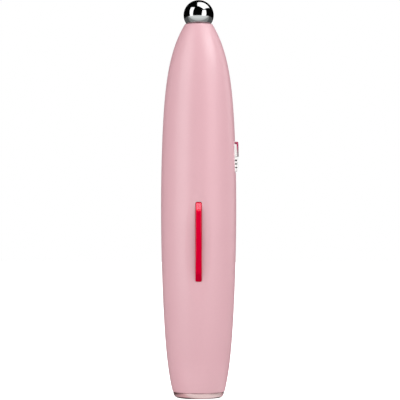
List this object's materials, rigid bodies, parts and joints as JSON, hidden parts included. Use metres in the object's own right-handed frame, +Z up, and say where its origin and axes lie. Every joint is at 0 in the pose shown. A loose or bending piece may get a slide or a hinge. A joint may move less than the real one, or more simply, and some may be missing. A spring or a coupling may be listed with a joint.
{
  "type": "microcurrent facial pen",
  "caption": "Slim facial pen with a ball electrode at the nose, a raised finger contact strip, a sprung side button and a screw cap for the cell at its flat base.",
  "frame": {"origin": "centre of the flat base of the screw cap", "axes": "+Z up the pen to the ball electrode, the contact strip faces -Y, the button faces +X"},
  "size_m": [0.0296, 0.0287, 0.15],
  "materials": {
    "shell": "satin pink coat with a fine pearl grain",
    "ball": "mirror chrome",
    "cap": "polished rose anodised aluminium",
    "strip": "glossy crimson anodised",
    "control_white": "white moulded, fine gloss",
    "button_face": "crimson, fading to grey at its lower end",
    "indicator": "smoked translucent",
    "light_guide": "clear moulded",
    "chassis": "black moulded",
    "board": "green solder mask",
    "component": "black moulded",
    "contact_metal": "plain brass",
    "spring_steel": "bright drawn wire",
    "seal": "black rubber",
    "cell": "plain grey sleeve"
  },
  "bodies": {
    "pen": {"body_shell": "shell", "ball_electrode": "ball", "nose_seal": "seal", "electrode_tag": "contact_metal", "electrode_nut": "contact_metal", "electrode_spring": "spring_steel", "electrode_contact": "contact_metal", "chassis": "chassis", "circuit_board": "board", "board_screws": "spring_steel", "controller_chip": "component", "boost_coil": "component", "capacitors": "component", "tact_switch": "component", "indicator_lights": "light_guide", "light_guide": "light_guide", "indicator_windows": "indicator", "control_housing": "control_white", "button_seal": "seal", "contact_strip": "strip", "strip_washers": "spring_steel", "strip_leaf": "contact_metal", "cell": "cell", "battery_contact": "contact_metal", "return_lead": "contact_metal", "base_collar": "contact_metal"},
    "power_button": {"button_core": "control_white", "button_face": "button_face", "switch_stem": "component"},
    "spring_carrier": {"spring_plate": "contact_metal", "battery_spring": "spring_steel"},
    "screw_cap": {"base_cap": "cap", "cap_seal": "seal"}
  },
  "joints": [
    {"name": "power_button_press", "type": "slide", "parent": "pen", "child": "power_button", "axis": [-1, 0, 0], "range_m": [0, 0.0004], "stiffness_N_per_m": 1500, "springref_m": -0.0005},
    {"name": "cap_travel", "type": "slide", "parent": "pen", "child": "spring_carrier", "axis": [0, 0, -1], "range_m": [0, 0.007]},
    {"name": "cap_turn", "type": "hinge", "parent": "spring_carrier", "child": "screw_cap", "pos_m": [0, 0, 0], "axis": [0, 0, -1], "range_deg": [0, 2015]}
  ],
  "couplings": [
    {"joint": "cap_travel", "follows": "cap_turn", "m_per_rad": 0.00019894}
  ]
}
